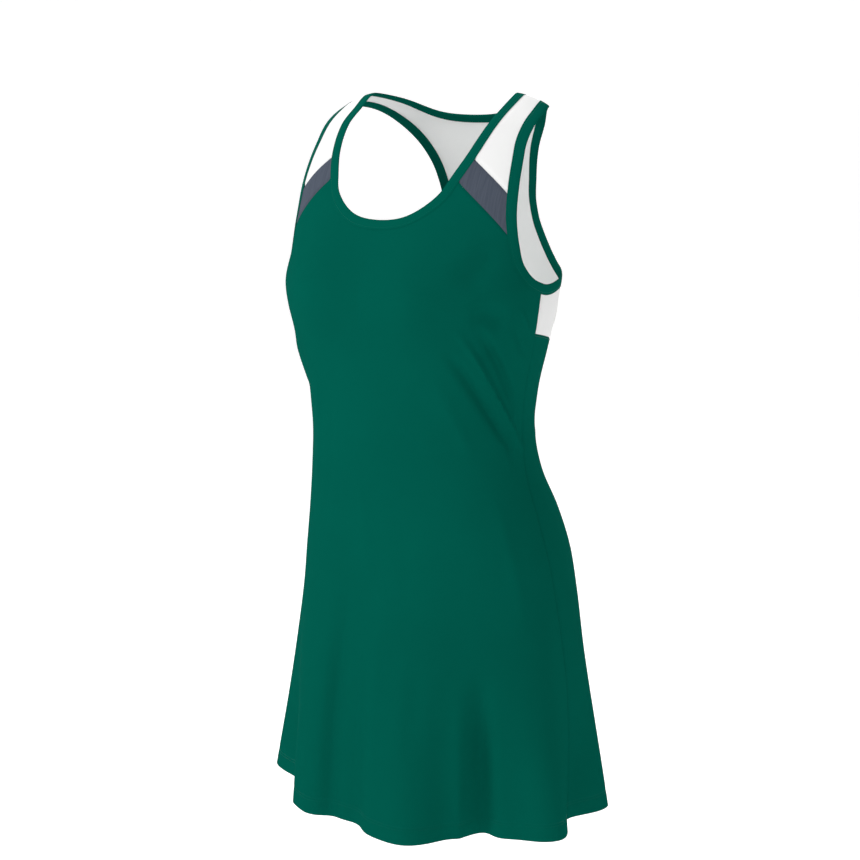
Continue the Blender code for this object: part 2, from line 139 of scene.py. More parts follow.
# Creases where the knit pulls, as soft ridges (or troughs)
# angle and height of one end, angle and height of the other, half width, rise
CREASES = np.array([
    (38.0, -0.238, 94.0, -0.404, 0.0038, 0.0058),
    (48.0, -0.238, 86.0, -0.350, 0.0062, -0.0050),
    (34.0, -0.262, 84.0, -0.398, 0.0070, -0.0056),
    (29.0, -0.290, 58.0, -0.400, 0.0110, 0.0018),
    (46.0, -0.226, 68.0, -0.243, 0.0130, -0.0048),
    (45.0, -0.143, 31.0, -0.205, 0.0150, 0.0022),
    (55.0, -0.163, 42.0, -0.208, 0.0120, -0.0022),
    (72.0, -0.224, 85.0, -0.262, 0.0040, 0.0016),
    (69.0, -0.240, 83.0, -0.285, 0.0045, -0.0014),
    (80.0, -0.330, 82.5, -0.405, 0.0040, 0.0013),
    (76.0, -0.345, 79.5, -0.420, 0.0050, -0.0011),
    (-50.0, -0.258, -77.0, -0.352, 0.0065, 0.0026),
    (-54.0, -0.240, -79.0, -0.322, 0.0070, -0.0021),
    (-41.0, -0.270, -67.0, -0.365, 0.0095, -0.0019),
    (-47.0, -0.150, -33.0, -0.202, 0.0140, 0.0016),
    (-72.0, -0.228, -85.0, -0.262, 0.0040, 0.0012),
    (-36.0, -0.300, -42.0, -0.450, 0.0110, 0.0018),
    (-24.0, -0.310, -29.0, -0.470, 0.0130, -0.0016),
    (-6.0, -0.400, -3.0, -0.560, 0.0120, 0.0014),
    (12.0, -0.430, 16.0, -0.600, 0.0140, -0.0014),
    (22.0, -0.620, 22.0, -0.740, 0.0100, -0.0020),
    (38.5, -0.610, 38.0, -0.960, 0.0110, 0.0060),
    (47.0, -0.610, 48.0, -0.960, 0.0105, -0.0132),
    (58.0, -0.660, 60.0, -0.960, 0.0180, -0.0070),
    (-14.0, -0.520, -15.0, -0.960, 0.0115, -0.0080),
    (6.0, -0.520, 6.0, -0.960, 0.0150, 0.0050),
    (-34.0, -0.660, -36.0, -0.960, 0.0110, 0.0022),
    (62.0, -0.420, 66.0, -0.600, 0.0120, 0.0016),
    (112.0, -0.352, 152.0, -0.372, 0.0070, -0.0018),
    (116.0, -0.372, 148.0, -0.396, 0.0080, 0.0016),
    (120.0, -0.335, 168.0, -0.352, 0.0075, 0.0014),
    (205.0, -0.348, 250.0, -0.362, 0.0070, -0.0019),
    (212.0, -0.372, 246.0, -0.388, 0.0080, 0.0020),
    (196.0, -0.366, 236.0, -0.330, 0.0085, 0.0012),
    (166.0, -0.395, 192.0, -0.400, 0.0080, -0.0015),
    (150.0, -0.300, 168.0, -0.345, 0.0090, 0.0011),
    (208.0, -0.298, 194.0, -0.340, 0.0085, 0.0010),
    (112.0, -0.225, 124.0, -0.262, 0.0060, 0.0010),
    (250.0, -0.222, 238.0, -0.258, 0.0055, 0.0011),
])
CREASE_RADIUS = 0.155
CREASE_TAPER = 0.35

# Free edge of the neck, from the centre front over the shoulder to the centre back
NECK_EDGE = np.array([
    (0.000, -0.120, -0.1355),
    (0.032, -0.119, -0.1310),
    (0.055, -0.115, -0.1185),
    (0.069, -0.108, -0.1050),
    (0.077, -0.098, -0.0880),
    (0.083, -0.081, -0.0680),
    (0.091, -0.053, -0.0360),
    (0.096, -0.029, -0.0150),
    (0.096, -0.002,  0.0000),
    (0.078,  0.022, -0.0045),
    (0.043,  0.050, -0.0215),
    (0.000,  0.060, -0.0232),
])

# Free edge of the wearer's left armhole, from the side seam up the front, over the
# shoulder and down the back to the side seam again
ARMHOLE_EDGE = np.array([
    (0.1640, -0.053, -0.2015),
    (0.1615, -0.068, -0.1950),
    (0.1600, -0.079, -0.1815),
    (0.1585, -0.084, -0.1590),
    (0.1575, -0.085, -0.1310),
    (0.1565, -0.079, -0.1000),
    (0.1552, -0.067, -0.0700),
    (0.1518, -0.054, -0.0480),
    (0.1470, -0.036, -0.0310),
    (0.1380, -0.014, -0.0220),
    (0.1260,  0.004, -0.0205),
    (0.1110,  0.022, -0.0240),
    (0.0930,  0.045, -0.0400),
    (0.0770,  0.063, -0.0630),
    (0.0685,  0.082, -0.0980),
    (0.0680,  0.093, -0.1240),
    (0.0730,  0.093, -0.1420),
    (0.0840,  0.090, -0.1580),
    (0.1010,  0.083, -0.1740),
    (0.1180,  0.069, -0.1855),
    (0.1380,  0.038, -0.1940),
    (0.1550, -0.006, -0.2005),
    (0.1640, -0.053, -0.2015),
])

INSERT_LOW_AT_NECK = -0.093
INSERT_LOW_AT_ARM = -0.149
INSERT_TOP_AT_NECK = -0.069
INSERT_TOP_AT_ARM = -0.105
CHEST_Z = -0.295

# Points of a whole edge, and faces along each stretch of an edge or a panel
EDGE_POINTS = 4001
SCOOP_STEPS = 44
STRAP_STEPS = 16
INSERT_STEPS = 14
YOKE_STEPS = 34
ARM_FRONT_STEPS = 40
ARM_LOW_BACK_STEPS = 40
ARM_HIGH_BACK_STEPS = 44
BACK_NECK_STEPS = 40
HEM_ROWS = 12
SKIRT_ROWS = 148
CHEST_ROWS = 70


def smooth(stops, values, where):
    """Read a table through a smooth curve: values at stops, wanted at where."""
    stops = np.asarray(stops, dtype=float)
    values = np.asarray(values, dtype=float).reshape(len(stops), -1)
    slopes = np.gradient(values, stops, axis=0)
    i = np.clip(np.searchsorted(stops, where) - 1, 0, len(stops) - 2)
    width = (stops[i + 1] - stops[i])[:, None]
    u = (np.asarray(where)[:, None] - stops[i][:, None]) / width
    start = values[i] * (1 + 2 * u) * (1 - u) ** 2 + slopes[i] * width * u * (1 - u) ** 2
    end = values[i + 1] * u ** 2 * (3 - 2 * u) + slopes[i + 1] * width * u ** 2 * (u - 1)
    return start + end


def ease(share):
    """0 below 0, 1 above 1, and a soft step between."""
    share = np.clip(share, 0.0, 1.0)
    return share * share * (3 - 2 * share)


def section(z):
    """Half width, side y, front y, back y and front squareness at each height."""
    drop = np.sqrt(np.clip(CROWN_Z - z, TINY, None))
    return smooth(np.sqrt(CROWN_Z - LEVELS[:, 0]), LEVELS[:, 1:], drop).T


def flute(angle, z):
    """How far the skirt stands out at an angle (radians) and a height."""
    turn = np.mod(np.degrees(angle) - FLUTES[0, 0], 360.0)
    stops = np.append(FLUTES[:, 0] - FLUTES[0, 0], 360.0)
    here = np.clip(np.searchsorted(stops, turn, side="right") - 1, 0, len(FLUTES) - 1)
    after = (here + 1) % len(FLUTES)
    share = ease((turn - stops[here]) / (stops[here + 1] - stops[here]))

    def reach(row):
        start = FLUTES[row, 2]
        length = start - HEM_Z
        full = ease(length / (length + FLUTE_SOFTNESS))
        return FLUTES[row, 1] * ease((start - z) / (length + FLUTE_SOFTNESS)) / full

    return reach(here) * (1 - share) + reach(after) * share


def place(points):
    """Size relative to the section (1 on the form), its half width, and the angle."""
    x, y, z = points.T
    half, side, front, back, squareness = section(z)
    height = np.exp(-((z - BUST_Z) / BUST_HALF_HEIGHT) ** 2)
    mound = BUST_REACH * np.exp(-((np.abs(x) - BUST_X) / BUST_HALF_WIDTH) ** 2)
    bridge = BRIDGE_REACH * np.exp(-(x / BRIDGE_HALF_WIDTH) ** 4)
    depth = np.where(y < side, side - front + (mound + bridge) * height, back - side)
    power = np.where(y < side, squareness, BACK_SQUARENESS)
    size = ((np.abs(x) / half) ** power + (np.abs(y - side) / depth) ** power) ** (1 / power)
    return size, half, np.arctan2(x / half, (side - y) / depth)


def form(points):
    """Below 0 inside the dress's form, 0 on it, above 0 outside."""
    size, half, angle = place(points)
    return size - 1 - flute(angle, points[:, 2]) / half


CORE_TOP = -0.070
CORE_SHARE = 0.45
FARTHEST_SHARE = 2.5
HALVINGS = 34


def on_form(points):
    """Move each point straight out from, or in to, the core until it lies on the form."""
    core_z = np.minimum(points[:, 2], CORE_TOP)
    core = np.column_stack((CORE_SHARE * points[:, 0], section(core_z)[1], core_z))
    low = np.zeros(len(points))
    high = np.full(len(points), FARTHEST_SHARE)
    for _ in range(HALVINGS):
        middle = (low + high) / 2
        inside = form(core + (points - core) * middle[:, None]) < 0
        low = np.where(inside, middle, low)
        high = np.where(inside, high, middle)
    return core + (points - core) * low[:, None]


def outward(points):
    """Unit normals of the form."""
    slope = np.column_stack([
        form(points + TINY * axis) - form(points - TINY * axis) for axis in np.eye(3)])
    return slope / np.linalg.norm(slope, axis=1)[:, None]


def at_angle(degrees, z):
    """The form's point at each angle from the centre front and each height."""
    turn = np.radians(degrees)
    half, side, front, back, _ = section(z)
    depth = np.where(np.cos(turn) > 0, side - front, back - side)
    return on_form(np.column_stack((half * np.sin(turn), side - depth * np.cos(turn), z)))


def crease(points):
    """How far the creases raise or lower the cloth at each point."""
    angle = np.degrees(place(points)[2])
    rise = np.zeros(len(points))
    for turn_a, z_a, turn_b, z_b, half_width, height in CREASES:
        across = np.radians(np.mod(angle - turn_a + 180.0, 360.0) - 180.0) * CREASE_RADIUS
        along = points[:, 2] - z_a
        run = np.array((np.radians(turn_b - turn_a) * CREASE_RADIUS, z_b - z_a))
        length = np.hypot(*run)
        run /= length
        share = (across * run[0] + along * run[1]) / length
        off = across * run[1] - along * run[0]
        fade = ease(share / CREASE_TAPER) * ease((1 - share) / CREASE_TAPER)
        rise += height * fade * np.exp(-(off / half_width) ** 2)
    return rise


def dense_edge(rows, before, after):
    """Many points of a smooth curve through the rows, on the form.

    The points before and after carry the curve's direction past its two ends."""
    rows = np.vstack((before, rows, after))
    steps = np.linalg.norm(np.diff(rows, axis=0), axis=1)
    stops = np.concatenate(([0.0], np.cumsum(steps)))
    return on_form(smooth(stops, rows, np.linspace(stops[1], stops[-2], EDGE_POINTS)))


def inside_of(edge, width, before, after):
    """The edge moved into the cloth by a width, which may be negative."""
    along = np.gradient(np.vstack((before, edge, after)), axis=0)[1:-1]
    along /= np.linalg.norm(along, axis=1)[:, None]
    return on_form(edge + width * np.cross(outward(edge), along))


def crossing(edge, z, start, stop):
    """Index of the edge point nearest to a height, between two indices."""
    return start + int(np.argmin(np.abs(edge[start:stop, 2] - z)))


def spread(marks, counts):
    """Indices that cut each stretch between marks into its count of equal steps."""
    parts = [np.linspace(a, b, n + 1)[:-1] for a, b, n in zip(marks, marks[1:], counts)]
    return np.rint(np.append(np.concatenate(parts), marks[-1])).astype(int)


def stretches(edge, marks, counts):
    """The edge's points, one stretch between each mark and the next."""
    return [edge[spread((a, b), (n,))] for a, b, n in zip(marks, marks[1:], counts)]


def between(start, end, count):
    """Points on the form from one point to another, in equal steps."""
    share = np.linspace(0.0, 1.0, count + 1)[:, None]
    return on_form(start * (1 - share) + end * share)


def mirrored(points):
    """The same points on the wearer's other side."""
    return points * np.array((-1.0, 1.0, 1.0))


def pulled_in(grid, rows=(), columns=()):
    """Draw sides of a grid back by half a seam gap: rows and columns are 0 or -1."""
    grid = grid.copy()
    for row in rows:
        step = grid[1 if row == 0 else -2] - grid[row]
        grid[row] += step / np.linalg.norm(step, axis=-1)[:, None] * SEAM_GAP / 2
    for column in columns:
        step = grid[:, 1 if column == 0 else -2] - grid[:, column]
        grid[:, column] += step / np.linalg.norm(step, axis=-1)[:, None] * SEAM_GAP / 2
    return grid


def ruled(bottom, top, rows):
    """A grid on the form whose columns run straight from the bottom to the top."""
    share = np.linspace(0.0, 1.0, rows + 1)[:, None, None]
    grid = bottom * (1 - share) + top * share
    grid[1:-1] = on_form(grid[1:-1].reshape(-1, 3)).reshape(grid[1:-1].shape)
    return grid


def keep_to_side_seams(grid, first, last):
    """Put a grid's outer columns on the side seams, given their angles; the top row stays."""
    for column, degrees in ((0, first), (-1, last)):
        z = grid[:-1, column, 2]
        grid[:-1, column] = at_angle(np.full(len(z), degrees), z)


def lengths_along(grid, axis):
    """Distance along the rows (1) or columns (0), from the grid's first point of each."""
    steps = np.linalg.norm(np.diff(grid, axis=axis), axis=-1)
    total = np.cumsum(steps, axis=axis)
    start = np.zeros_like(total[:, :1] if axis == 1 else total[:1])
    return np.concatenate((start, total), axis=axis)


# The knit: one loop's size, the relief of loops and fuzz, the unevenness of the dye, the
# painted shade in the grooves between columns of loops, how little light glances off the
# fibres, and the painted sheen streaks of the inserts
LOOP_WIDTH = 0.0009
LOOP_HEIGHT = 0.0007
RELIEF_DEPTH = 0.00012
RELIEF_STRENGTH = 0.35
SLANT_SHARE = 0.35
FUZZ_SHARE = 0.5
FUZZ_SCALE = 900.0
CLOUD_SCALE = 9.0
CLOUD_SHARE = 0.6
GROOVE_SHADE_SHARE = 0.25
FIBRE_GLANCE = 0.001
FIBRE_SPREAD = 0.45
SHEEN_STREAK_STRETCH = (420.0, 26.0, 1.0)


def knit(name, colour, shade, tint, roughness, sheen, painted_sheen_streaks=0.0):
    """Fine stretch knit: columns of V-shaped loops, with a slightly uneven dye.

    The grooves between its columns of loops are painted darker, as painted shade, and the
    last argument paints sheen into its colour as streaks along the loops. What light glances
    off its fibres takes the tint of the dye."""
    material = bpy.data.materials.new(name)
    material.use_nodes = True
    nodes = material.node_tree.nodes
    links = material.node_tree.links
    shader = nodes["Principled BSDF"]
    shader.inputs["Roughness"].default_value = roughness
    shader.inputs["Sheen Weight"].default_value = sheen
    shader.inputs["Sheen Roughness"].default_value = FIBRE_SPREAD
    shader.inputs["Sheen Tint"].default_value = (*tint, 1.0)
    shader.inputs["Specular IOR Level"].default_value = FIBRE_GLANCE
    shader.inputs["Specular Tint"].default_value = (*tint, 1.0)

    def link(node, socket, source):
        if hasattr(source, "is_output"):
            links.new(source, node.inputs[socket])
        else:
            node.inputs[socket].default_value = source

    def math_node(operation, first, second=0.0):
        node = nodes.new("ShaderNodeMath")
        node.operation = operation
        link(node, 0, first)
        link(node, 1, second)
        return node.outputs[0]

    def noise(vector, scale, detail):
        node = nodes.new("ShaderNodeTexNoise")
        link(node, "Vector", vector)
        node.inputs["Scale"].default_value = scale
        node.inputs["Detail"].default_value = detail
        return node.outputs["Fac"]

    across_and_along = nodes.new("ShaderNodeUVMap")
    across_and_along.uv_map = "cloth"
    split = nodes.new("ShaderNodeSeparateXYZ")
    link(split, 0, across_and_along.outputs[0])
    wale = math_node("DIVIDE", split.outputs[0], LOOP_WIDTH)
    course = math_node("DIVIDE", split.outputs[1], LOOP_HEIGHT)
    # 0 in the groove between two columns of loops, 1 on the middle of a column
    column = math_node("PINGPONG", wale, 0.5)
    bulge = math_node("SINE", math_node("MULTIPLY", column, np.pi))
    slant = math_node("ADD", course, column)
    loops = math_node("SINE", math_node("MULTIPLY", slant, 2 * np.pi))
    height = math_node("ADD", bulge, math_node("MULTIPLY", loops, SLANT_SHARE))

    space = nodes.new("ShaderNodeTexCoord").outputs["Object"]
    cloudy = noise(space, CLOUD_SCALE, 4.0)
    fuzz = noise(space, FUZZ_SCALE, 2.0)
    height = math_node("ADD", height, math_node("MULTIPLY", fuzz, FUZZ_SHARE))
    bump = nodes.new("ShaderNodeBump")
    bump.inputs["Strength"].default_value = RELIEF_STRENGTH
    bump.inputs["Distance"].default_value = RELIEF_DEPTH
    link(bump, "Height", height)
    links.new(bump.outputs[0], shader.inputs["Normal"])

    tone = math_node("MULTIPLY", cloudy, CLOUD_SHARE)
    # Painted shade: the grooves between columns of loops take the darker colour
    tone = math_node("ADD", tone, math_node("MULTIPLY", bulge, GROOVE_SHADE_SHARE))
    # Painted sheen: streaks along the columns of loops, lighter and darker in the colour
    if painted_sheen_streaks:
        stretched = nodes.new("ShaderNodeMapping")
        stretched.inputs["Scale"].default_value = SHEEN_STREAK_STRETCH
        link(stretched, "Vector", across_and_along.outputs[0])
        painted_sheen = math_node("SUBTRACT", noise(stretched.outputs[0], 1.0, 3.0), 0.5)
        tone = math_node("ADD", tone, math_node("MULTIPLY", painted_sheen, painted_sheen_streaks))
    mix = nodes.new("ShaderNodeMix")
    mix.data_type = "RGBA"
    link(mix, "Factor", tone)
    mix.inputs["A"].default_value = (*shade, 1.0)
    mix.inputs["B"].default_value = (*colour, 1.0)
    links.new(mix.outputs["Result"], shader.inputs["Base Color"])
    return material


GREEN_TINT = (0.05, 0.80, 0.62)
body_knit = knit("body_knit", (0.0005, 0.1020, 0.0730), (0.0004, 0.0820, 0.0580),
                 GREEN_TINT, 0.9, 0.0)

# The row of stitches presses the cloth in a little above the hem
STITCH_SINK = 0.00035
STITCH_SINK_WIDTH = 0.0022
SHARP_ANGLE = np.radians(55.0)


def panel(name, node, material, grids, seams, hem_height=0.0):
    """A closed wall of cloth on one or more grids that share points where they meet.

    seams gives, for each grid, the stretches of its sides that are sewn to another panel,
    where the cloth sinks a little. Below hem_height it is turned up, so it is thicker."""
    places = {}
    points = []
    cloth_uv = []
    sinks = []
    quads = []
    for grid, sewn in zip(grids, seams):
        rows, columns = grid.shape[:2]
        sink = np.zeros((rows, columns))
        for stretch in sewn:
            sink[stretch] = SEAM_SINK
        across = lengths_along(grid, 1)
        across -= across[:, columns // 2][:, None]
        along = lengths_along(grid, 0)
        index = np.zeros((rows, columns), dtype=int)
        keys = np.rint(grid / TINY).astype(int)
        for r in range(rows):
            for c in range(columns):
                key = tuple(keys[r, c])
                if key not in places:
                    places[key] = len(points)
                    points.append(grid[r, c])
                    sinks.append(sink[r, c])
                    cloth_uv.append((across[r, c], along[r, c]))
                index[r, c] = places[key]
        for r in range(rows - 1):
            for c in range(columns - 1):
                low, high = index[r, c:c + 2], index[r + 1, c:c + 2]
                quads.append((low[0], low[1], high[1], high[0]))
    points = np.array(points)
    normals = outward(points)
    lift = crease(points) - np.array(sinks)
    stitched = np.exp(-((points[:, 2] - HEM_Z - HEM_TURN_UP) / STITCH_SINK_WIDTH) ** 2)
    lift -= np.where(hem_height > 0, STITCH_SINK * stitched, 0.0)
    depth = np.where(points[:, 2] < HEM_Z + hem_height, CLOTH / 2 + HEM_EXTRA, CLOTH / 2)
    outer = points + normals * (lift + CLOTH / 2)[:, None]
    inner = points + normals * (lift - depth)[:, None]
    vertices = np.concatenate((outer, inner))
    under = len(points)
    sides = {}
    for quad in quads:
        for a, b in zip(quad, quad[1:] + quad[:1]):
            if (b, a) in sides:
                del sides[(b, a)]
            else:
                sides[(a, b)] = True
    faces = list(quads)
    faces += [tuple(under + i for i in reversed(quad)) for quad in quads]
    faces += [(a, under + a, under + b, b) for a, b in sides]
    return cloth_piece(name, node, material, vertices, faces, cloth_uv + cloth_uv)


def cloth_piece(name, node, material, vertices, faces, cloth_uv):
    """A named closed mesh in place of its solid, with its cloth's own coordinates in metres."""
    mesh = bpy.data.meshes.new(name)
    mesh.from_pydata([tuple(v) for v in vertices], [], faces)
    work = bmesh.new()
    work.from_mesh(mesh)
    bmesh.ops.recalc_face_normals(work, faces=work.faces[:])
    if work.calc_volume(signed=True) < 0:
        bmesh.ops.reverse_faces(work, faces=work.faces[:])
    work.to_mesh(mesh)
    work.free()
    corners = np.zeros(len(mesh.loops), dtype=int)
    mesh.loops.foreach_get("vertex_index", corners)
    layer = mesh.uv_layers.new(name="cloth")
    layer.data.foreach_set("uv", np.array(cloth_uv)[corners].astype(np.float32).ravel())
    mesh.shade_smooth()
    mesh.set_sharp_from_angle(angle=SHARP_ANGLE)
    mesh.materials.append(material)
    piece = bpy.data.objects.new(name, mesh)
    bpy.context.scene.collection.objects.link(piece)
    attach(piece, "root")
    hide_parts(node)
    return piece


# Neck: free edge, seam line and cut edge of the cloth, centre front to centre back
neck = dense_edge(NECK_EDGE, mirrored(NECK_EDGE[1]), mirrored(NECK_EDGE[-2]))
neck_ends = (mirrored(neck[1]), mirrored(neck[-2]))
neck_seam = inside_of(neck, -BINDING_WIDTH, *neck_ends)
neck_cut = inside_of(neck_seam, -SEAM_GAP, mirrored(neck_seam[1]), mirrored(neck_seam[-2]))
for line in (neck_seam, neck_cut):
    line[[0, -1], 0] = 0.0
crest = int(np.argmax(neck[:, 2]))
neck_marks = [
    0,
    crossing(neck_cut, INSERT_LOW_AT_NECK, 0, crest),
    crossing(neck_cut, INSERT_TOP_AT_NECK, 0, crest),
    crest,
    EDGE_POINTS - 1,
]
neck_counts = [SCOOP_STEPS, INSERT_STEPS, YOKE_STEPS, BACK_NECK_STEPS]

# Armhole, wearer's left: up the front, over the shoulder and down the back
RACERBACK_WAIST = -0.124
arm = dense_edge(ARMHOLE_EDGE, ARMHOLE_EDGE[-2], ARMHOLE_EDGE[1])
arm_ends = (arm[-2], arm[1])
arm_seam = inside_of(arm, BINDING_WIDTH, *arm_ends)
arm_cut = inside_of(arm_seam, SEAM_GAP, arm_seam[-2], arm_seam[1])
arm_crest = int(np.argmax(arm_cut[:, 2]))
arm_marks = [
    0,
    crossing(arm_cut, INSERT_LOW_AT_ARM, 0, arm_crest),
    crossing(arm_cut, INSERT_TOP_AT_ARM, 0, arm_crest),
    arm_crest,
    crossing(arm_cut, RACERBACK_WAIST, arm_crest, EDGE_POINTS),
    EDGE_POINTS - 1,
]
arm_counts = [
    ARM_FRONT_STEPS, INSERT_STEPS, YOKE_STEPS, ARM_HIGH_BACK_STEPS, ARM_LOW_BACK_STEPS]

scoop, neck_insert, neck_yoke, neck_back = stretches(neck_cut, neck_marks, neck_counts)
arm_front, arm_insert, arm_yoke, arm_high, arm_low = stretches(arm_cut, arm_marks, arm_counts)
insert_low = between(neck_insert[0], arm_insert[0], STRAP_STEPS)
insert_top = between(neck_insert[-1], arm_insert[-1], STRAP_STEPS)
shoulder_seam = between(neck_yoke[-1], arm_yoke[-1], STRAP_STEPS)

# Columns run from the hem up to the armholes, the inserts' seams and the scoop
half_top = np.concatenate((arm_front, insert_low[::-1][1:], scoop[::-1][1:]))
front_top = np.concatenate((mirrored(half_top), half_top[::-1][1:]))
front_angles = np.linspace(-90.0, 90.0, len(front_top))
HEM_ZONE = 0.024
skirt_levels = np.concatenate((
    np.linspace(HEM_Z, HEM_Z + HEM_ZONE, HEM_ROWS + 1)[:-1],
    np.linspace(HEM_Z + HEM_ZONE, CHEST_Z, SKIRT_ROWS + 1),
))
skirt_front = [at_angle(front_angles, np.full(len(front_angles), z)) for z in skirt_levels]
chest = ruled(skirt_front[-1], front_top, CHEST_ROWS)
keep_to_side_seams(chest, -90.0, 90.0)
front_grid = pulled_in(np.concatenate((skirt_front, chest[1:])), columns=(0, -1))
LOW = (0, slice(None))
TOP = (-1, slice(None))
FIRST = (slice(None), 0)
LAST = (slice(None), -1)
INSERT_RIGHT = (-1, slice(ARM_FRONT_STEPS + 1, ARM_FRONT_STEPS + STRAP_STEPS))
INSERT_LEFT = (-1, slice(-ARM_FRONT_STEPS - STRAP_STEPS, -ARM_FRONT_STEPS - 1))
front_cloth = panel("front_cloth", "front", body_knit, [front_grid],
                    [(FIRST, LAST, INSERT_RIGHT, INSERT_LEFT)], HEM_TURN_UP)


# Back yoke
# The white racerback in one piece with a tab under each arm, sewn to the shoulders
# above and to the green back below, along a seam that dips to the middle.

YOKE_SEAM_SIDE = -0.257
YOKE_SEAM_BACK = -0.283
RACERBACK_SPREAD = 28.0
YOKE_LOW_ROWS = 40

# Light shines through the thin white cloth: share of the light, and how far it spreads
LIGHT_THROUGH = 0.5
LIGHT_SPREAD = 0.003

WHITE_TINT = (1.0, 1.0, 1.0)
white_knit = knit("white_knit", (0.87, 0.87, 0.865), (0.82, 0.82, 0.815), WHITE_TINT, 0.6, 0.02)
white_shader = white_knit.node_tree.nodes["Principled BSDF"]
white_shader.inputs["Subsurface Weight"].default_value = LIGHT_THROUGH
white_shader.inputs["Subsurface Radius"].default_value = (1.0, 1.0, 1.0)
white_shader.inputs["Subsurface Scale"].default_value = LIGHT_SPREAD


def patch(bottom, top, left, right):
    """A grid of points on the form, filled in between its four sides."""
    u = np.linspace(0.0, 1.0, len(bottom))[None, :, None]
    v = np.linspace(0.0, 1.0, len(left))[:, None, None]
    sides = ((1 - v) * bottom[None] + v * top[None]
             + (1 - u) * left[:, None] + u * right[:, None])
    corners = ((1 - u) * (1 - v) * bottom[0] + u * (1 - v) * bottom[-1]
               + (1 - u) * v * top[0] + u * v * top[-1])
    grid = sides - corners
    inner = on_form(grid[1:-1, 1:-1].reshape(-1, 3))
    grid[1:-1, 1:-1] = inner.reshape(grid[1:-1, 1:-1].shape)
    return grid


EDGE_CLEARANCE = 0.003


def keep_off(grid, line, before, after):
    """Ease a grid's inner points in from a line of the cloth's edge until they clear it."""
    inward = inside_of(line, -SEAM_GAP, before, after) - line
    inward /= np.linalg.norm(inward, axis=1)[:, None]
    inner = grid[1:-1, 1:-1].reshape(-1, 3)
    nearest = np.argmin(np.linalg.norm(inner[:, None] - line[None], axis=2), axis=1)
    off = np.sum((inner - line[nearest]) * inward[nearest], axis=1)
    eased = EDGE_CLEARANCE * np.exp(np.minimum(off / EDGE_CLEARANCE - 1, 0.0))
    push = np.where(off < EDGE_CLEARANCE, eased - off, 0.0)[:, None]
    inner = on_form(inner + push * inward[nearest])
    grid[1:-1, 1:-1] = inner.reshape(grid[1:-1, 1:-1].shape)


waist_line = between(arm_low[0], mirrored(arm_low[0]), 2 * (STRAP_STEPS + BACK_NECK_STEPS))
yoke_low_top = np.concatenate((arm_low[::-1], waist_line[1:-1], mirrored(arm_low)))
back_marks = (90.0, 180.0 - RACERBACK_SPREAD, 180.0 + RACERBACK_SPREAD, 270.0)
seam_angles = np.concatenate((
    np.linspace(back_marks[0], back_marks[1], len(arm_low))[:-1],
    np.linspace(back_marks[1], back_marks[2], len(waist_line)),
    np.linspace(back_marks[2], back_marks[3], len(arm_low))[1:],
))
yoke_drop = (YOKE_SEAM_BACK - YOKE_SEAM_SIDE) * np.sin(np.radians(seam_angles - 90.0))
yoke_seam = at_angle(seam_angles, YOKE_SEAM_SIDE + yoke_drop)
yoke_low = ruled(yoke_seam, yoke_low_top, YOKE_LOW_ROWS)
keep_to_side_seams(yoke_low, 90.0, 270.0)
yoke_low = pulled_in(yoke_low, rows=(0,), columns=(0, -1))
strap_top = np.concatenate((shoulder_seam[::-1], neck_back[1:]))
strap_top = np.concatenate((strap_top, mirrored(strap_top)[::-1][1:]))
yoke_high = patch(waist_line, strap_top, arm_high[::-1], mirrored(arm_high)[::-1])
keep_off(yoke_high, neck_cut[crest:], neck_cut[crest - 1], mirrored(neck_cut[-2]))
middle = yoke_high.shape[1] // 2
yoke_high[:, middle + 1:] = mirrored(yoke_high[:, :middle])[:, ::-1]
SHOULDER_RIGHT = (-1, slice(1, STRAP_STEPS))
SHOULDER_LEFT = (-1, slice(-STRAP_STEPS, -1))
back_yoke_cloth = panel("back_yoke_cloth", "back_yoke", white_knit,
                        [yoke_low, yoke_high],
                        [(LOW, FIRST, LAST), (SHOULDER_RIGHT, SHOULDER_LEFT)])


# Back
# One green panel from the yoke seam down to the hem, joined to the front at the sides
# and finished at the hem in the same way.

EVEN_COLUMNS_BELOW = -0.560
BACK_TOP_ROWS = 20

even_angles = np.linspace(90.0, 270.0, len(seam_angles))
skirt_back = []
for z in skirt_levels:
    share = ease((z - EVEN_COLUMNS_BELOW) / (CHEST_Z - EVEN_COLUMNS_BELOW))
    angles = even_angles * (1 - share) + seam_angles * share
    skirt_back.append(at_angle(angles, np.full(len(angles), z)))
back_top = ruled(skirt_back[-1], yoke_seam, BACK_TOP_ROWS)
keep_to_side_seams(back_top, 90.0, 270.0)
back_grid = pulled_in(np.concatenate((skirt_back, back_top[1:])), rows=(-1,), columns=(0, -1))
back_cloth = panel("back_cloth", "back", body_knit, [back_grid],
                   [(TOP, FIRST, LAST)], HEM_TURN_UP)


# Shoulders and inserts
# On each side a white front yoke, and below it a slanted blue-grey insert whose knit
# has a faint satin sheen, partly real and partly painted into its colour as streaks. Both
# run from the neck binding to the armhole binding.

SLATE_TINT = (0.70, 0.76, 0.90)
# Painted sheen: the last number sets how strongly sheen streaks are painted into its colour
insert_knit = knit("insert_knit", (0.092, 0.108, 0.140), (0.056, 0.068, 0.094),
                   SLATE_TINT, 0.42, 0.04, 1.3)
insert_grid = pulled_in(patch(insert_low, insert_top, neck_insert, arm_insert), rows=(0, -1))
shoulder_grid = pulled_in(patch(insert_top, shoulder_seam, neck_yoke, arm_yoke), rows=(0, -1))


def as_drawn(points):
    """The points as they are, on the wearer's left."""
    return points


SIDES = (("left", as_drawn), ("right", mirrored))
for side, turn in SIDES:
    panel(
        "insert_cloth_" + side, "insert_" + side, insert_knit,
        [turn(insert_grid)], [(LOW, TOP)])
    panel(
        "shoulder_cloth_" + side, "shoulder_" + side, white_knit,
        [turn(shoulder_grid)], [(LOW, TOP)])


# Bindings
# Strips of the green knit folded over the raw edges of the neck and the armholes. The
# free edge is a round fold, and two lips grip the cloth's edge from outside and inside.

